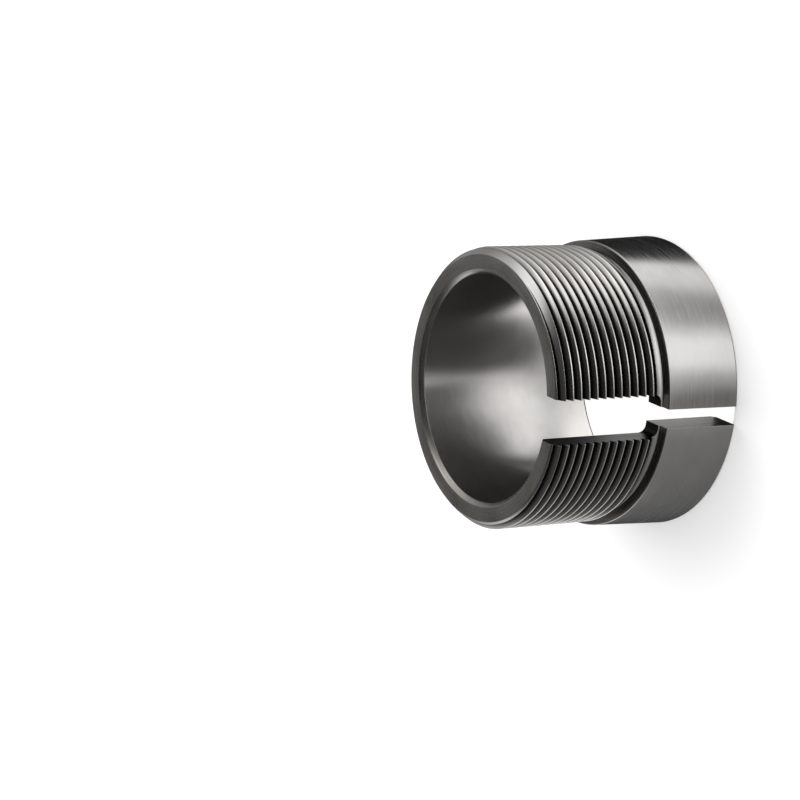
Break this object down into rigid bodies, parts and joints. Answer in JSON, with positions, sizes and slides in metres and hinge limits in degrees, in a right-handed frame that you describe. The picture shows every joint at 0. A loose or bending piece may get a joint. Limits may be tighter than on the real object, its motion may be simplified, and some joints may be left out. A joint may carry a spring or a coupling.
{
  "type": "adapter sleeve",
  "caption": "Split tapered sleeve that clamps a bearing to a shaft, with a threaded end, a keyway slot and a plain bore.",
  "frame": {"origin": "centre of the bore at the wide plain end, which the sleeve stands on", "axes": "+Z along the bore towards the threaded end; the keyway slot and the slit face -Y"},
  "size_m": [0.0474, 0.0474, 0.033],
  "materials": {
    "turned_steel": "turned and ground, satin"
  },
  "bodies": {
    "root": {"sleeve": "turned_steel"}
  },
  "joints": []
}
